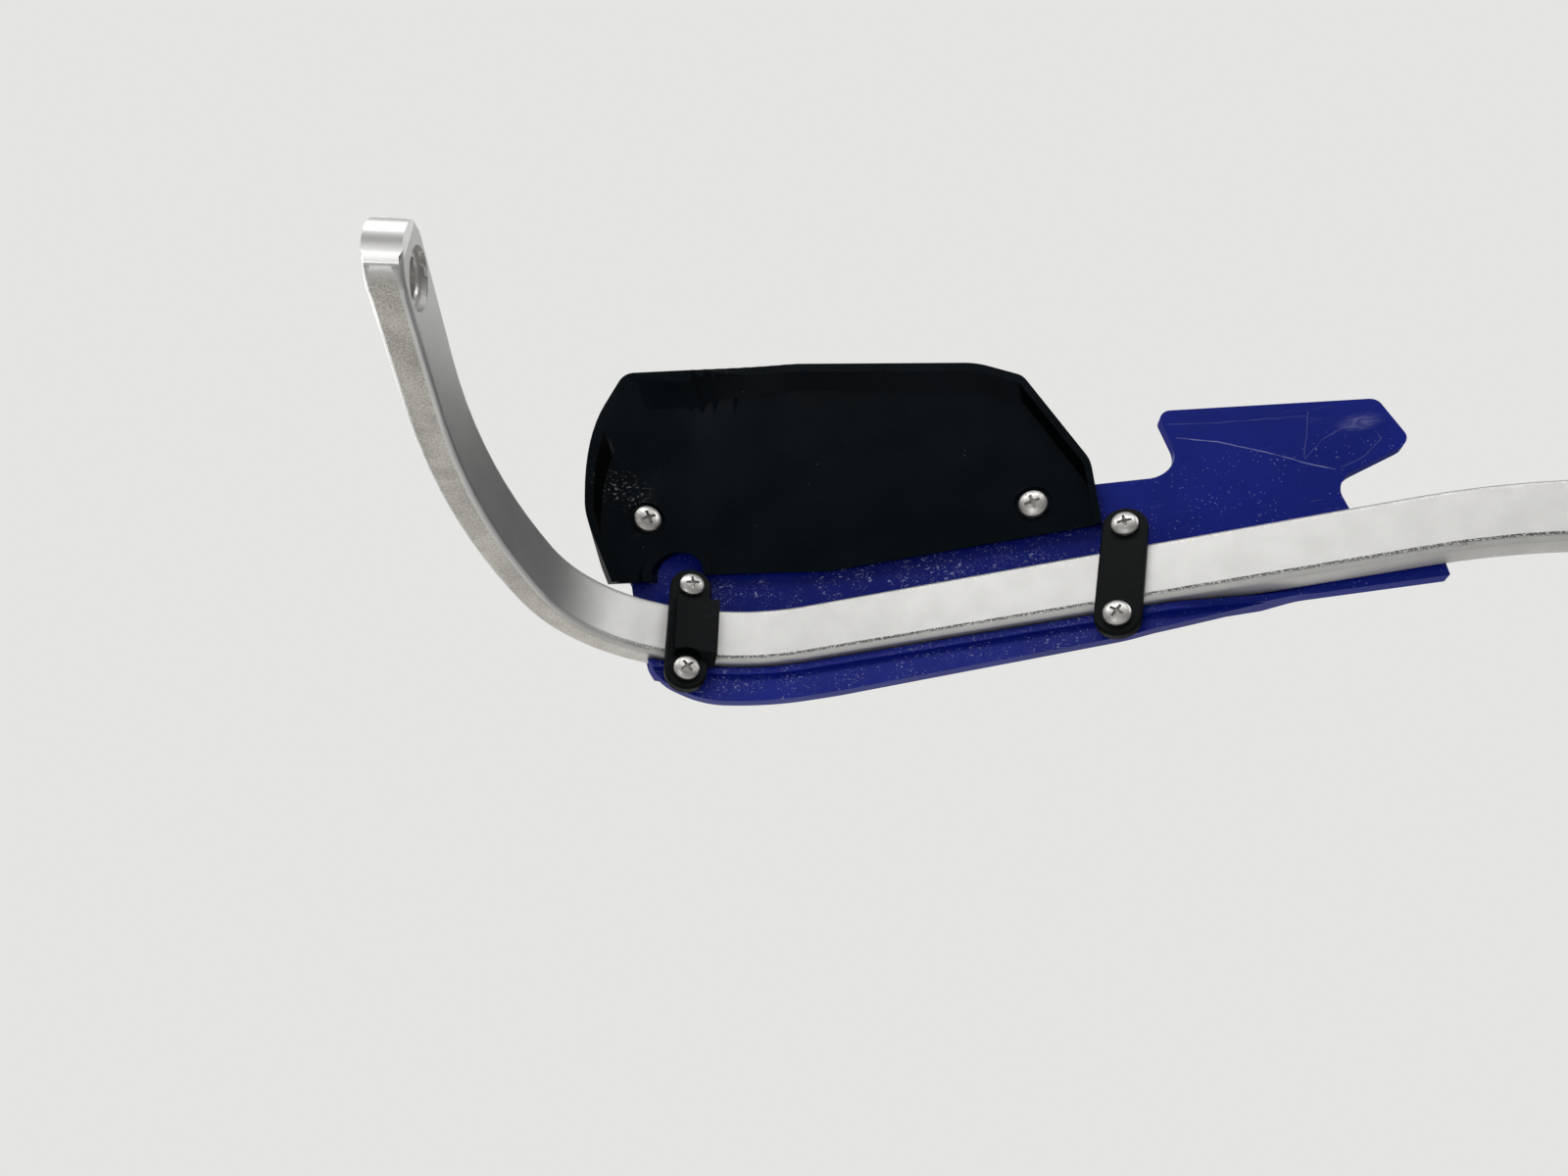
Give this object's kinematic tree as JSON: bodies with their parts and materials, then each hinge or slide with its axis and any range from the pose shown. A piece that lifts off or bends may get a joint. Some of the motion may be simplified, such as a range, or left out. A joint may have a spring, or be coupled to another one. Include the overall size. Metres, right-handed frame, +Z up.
{
  "type": "motorcycle hand guard",
  "caption": "Left-hand wrap-around hand guard: flat alloy bar bent round the grip, blue moulded shield and black upper deflector tray, held by black screwed straps.",
  "frame": {"origin": "centre of the bar-end bore, midway through the thickness of the leg", "axes": "+X along the grip's axis from the bar end inboard, +Y forward from the rider, +Z up"},
  "size_m": [0.3545, 0.169, 0.1299],
  "materials": {
    "alloy": "bead-blasted forging, bare",
    "steel": "satin plain steel",
    "blue_plastic": "semi-gloss moulded, lightly scratched",
    "tray_plastic": "satin-gloss moulded, dusty",
    "strap_plastic": "matt moulded"
  },
  "bodies": {
    "root": {"bar": "alloy", "bar_end_bush": "steel", "shield": "blue_plastic", "deflector": "tray_plastic", "outer_strap": "strap_plastic", "inner_strap": "strap_plastic", "outer_strap_upper_screw": "steel", "outer_strap_lower_screw": "steel", "inner_strap_upper_screw": "steel", "inner_strap_lower_screw": "steel", "deflector_outer_screw": "steel", "deflector_inner_screw": "steel"}
  },
  "joints": []
}
